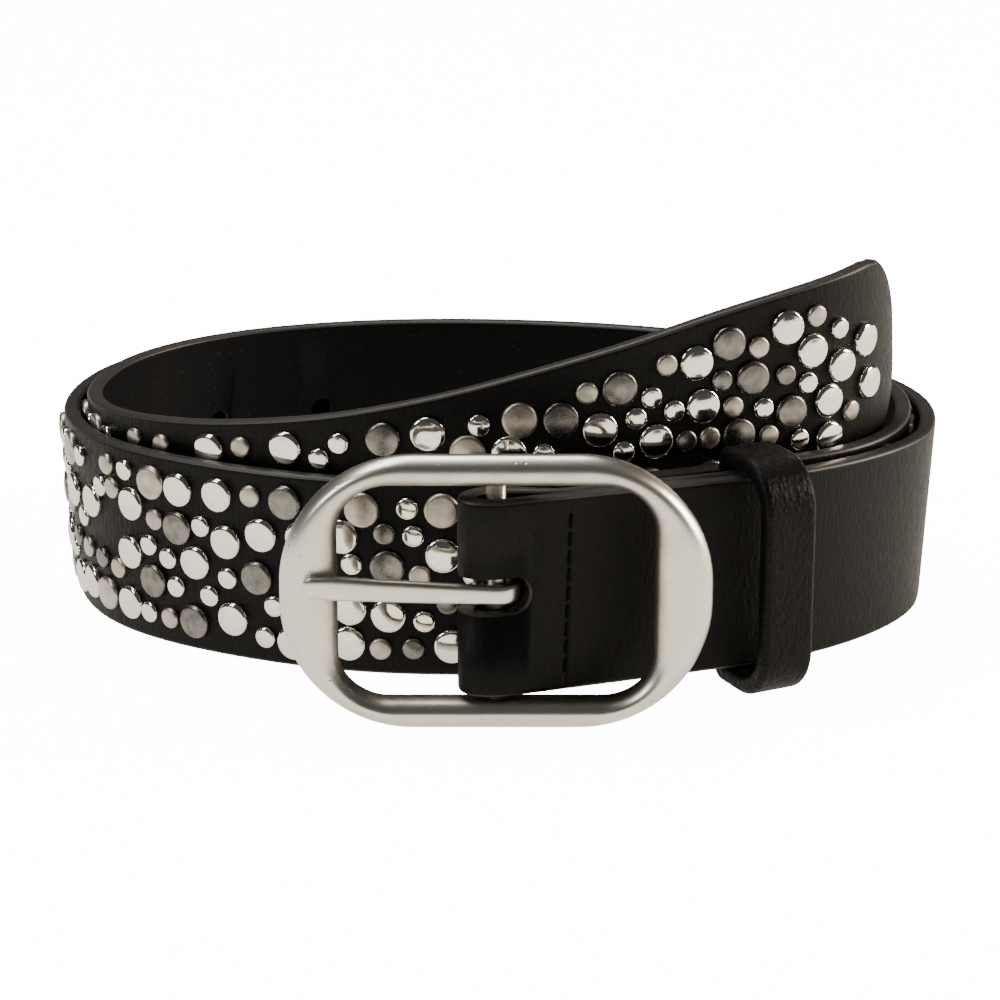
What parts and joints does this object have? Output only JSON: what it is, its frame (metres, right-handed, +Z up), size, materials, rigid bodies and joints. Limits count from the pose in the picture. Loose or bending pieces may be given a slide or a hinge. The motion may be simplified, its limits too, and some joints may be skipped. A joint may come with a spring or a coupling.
{
  "type": "studded leather belt, coiled",
  "caption": "Coiled leather belt with flat round metal studs, an oval cast buckle with a bar and prong, a keeper loop and a rounded free tip.",
  "frame": {"origin": "centre of the belt's box, on the surface it stands on", "axes": "+X to the right with the buckle towards the viewer, +Y away from the viewer, +Z up"},
  "size_m": [0.176, 0.1482, 0.0743],
  "materials": {
    "leather": "black grained leather with dark painted edges",
    "antique_nickel": "satin antique nickel, darker in its inner edges",
    "stud_bright": "bright polished nickel",
    "stud_satin": "satin warm grey nickel",
    "stud_dark": "dark gunmetal"
  },
  "bodies": {
    "strap_body": {"strap": "leather", "buckle_end": "leather", "keeper": "leather"},
    "buckle_body": {"buckle_frame": "antique_nickel"},
    "prong_body": {"prong": "antique_nickel"}
  },
  "joints": [
    {"name": "frame_swing", "type": "hinge", "parent": "strap_body", "child": "buckle_body", "pos_m": [0.00062, -0.06552, 0.02575], "axis": [0, 0, 1], "range_deg": [-20, 8]},
    {"name": "prong_swing", "type": "hinge", "parent": "buckle_body", "child": "prong_body", "pos_m": [0.00062, -0.06552, 0.02575], "axis": [0, 0, 1], "range_deg": [0, 100]}
  ]
}
